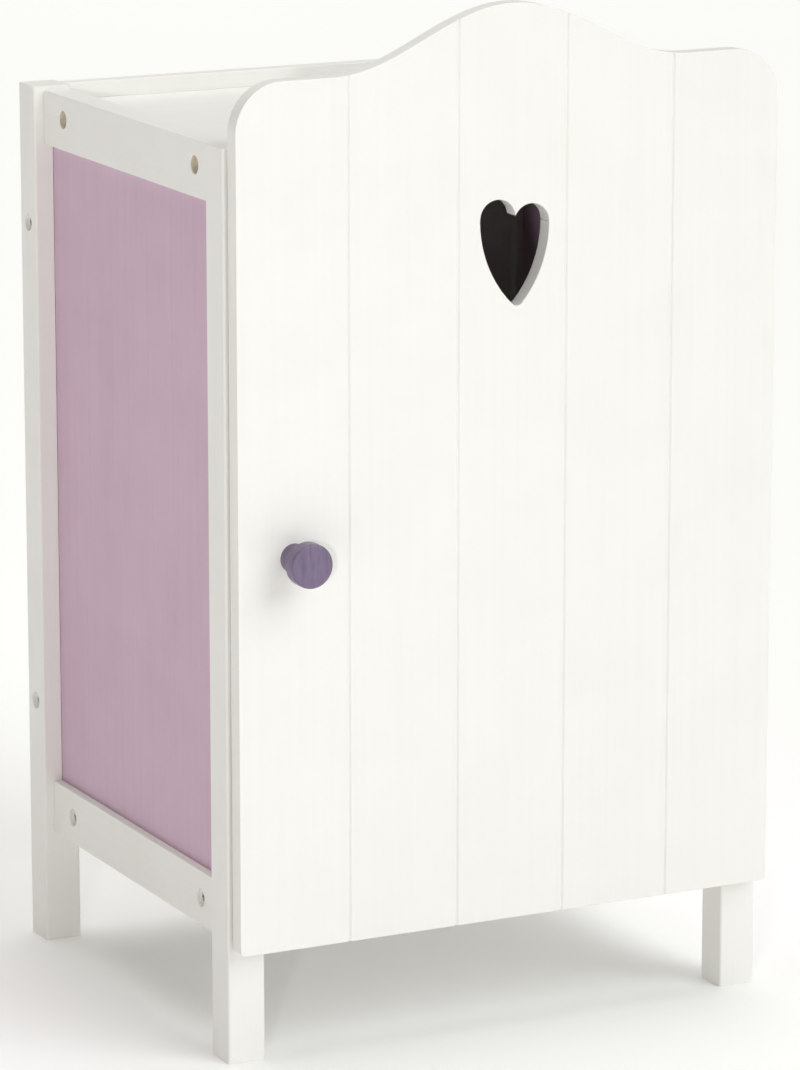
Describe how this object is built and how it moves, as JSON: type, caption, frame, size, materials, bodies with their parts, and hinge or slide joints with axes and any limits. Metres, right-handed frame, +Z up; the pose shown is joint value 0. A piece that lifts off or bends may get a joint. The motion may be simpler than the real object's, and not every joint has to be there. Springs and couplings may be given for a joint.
{
  "type": "miniature wardrobe",
  "caption": "Post-and-rail miniature wardrobe for dolls' clothes, with side panels, a tray top, a hanging rail and a hinged plank door with a wavy crown and a heart cutout.",
  "frame": {"origin": "bottom centre of the box round the whole wardrobe with its door shut, on the floor", "axes": "+Z up, the door faces -Y, and the hinges are on the +X side"},
  "size_m": [0.3342, 0.312, 0.5724],
  "materials": {
    "white_paint": "satin white paint over wood and board",
    "lilac_paint": "matt dusty lilac paint over thin board",
    "knob_paint": "violet stain on turned wood",
    "bare_wood": "bare beech",
    "steel": "zinc-plated steel",
    "hinge_brass": "satin brass",
    "magnet_nickel": "nickel-plated magnet"
  },
  "bodies": {
    "cabinet": {"front_left_post": "white_paint", "front_right_post": "white_paint", "rear_left_post": "white_paint", "rear_right_post": "white_paint", "upper_left_rail": "white_paint", "upper_right_rail": "white_paint", "lower_left_rail": "white_paint", "lower_right_rail": "white_paint", "left_side_panel": "lilac_paint", "right_side_panel": "lilac_paint", "top_board": "white_paint", "bottom_board": "white_paint", "back_panel": "white_paint", "rail_dowels": "bare_wood", "upper_rail_screws": "steel", "lower_rail_screws": "steel", "back_panel_screws": "steel", "clothes_rail": "bare_wood", "left_rail_bracket": "white_paint", "right_rail_bracket": "white_paint", "rail_bracket_screws": "steel", "upper_hinge_frame_leaf": "hinge_brass", "lower_hinge_frame_leaf": "hinge_brass", "upper_hinge_pin": "steel", "lower_hinge_pin": "steel", "hinge_frame_screws": "hinge_brass", "catch_magnet": "magnet_nickel"},
    "door": {"door_panel": "white_paint", "door_knob": "knob_paint", "knob_screw": "steel", "upper_hinge_door_leaf": "hinge_brass", "lower_hinge_door_leaf": "hinge_brass", "hinge_door_screws": "hinge_brass", "strike_plate": "steel", "strike_screw": "steel"}
  },
  "joints": [
    {"name": "door_hinge", "type": "hinge", "parent": "cabinet", "child": "door", "pos_m": [0.1651, -0.1208, 0.3], "axis": [0, 0, 1], "range_deg": [0, 180]}
  ]
}
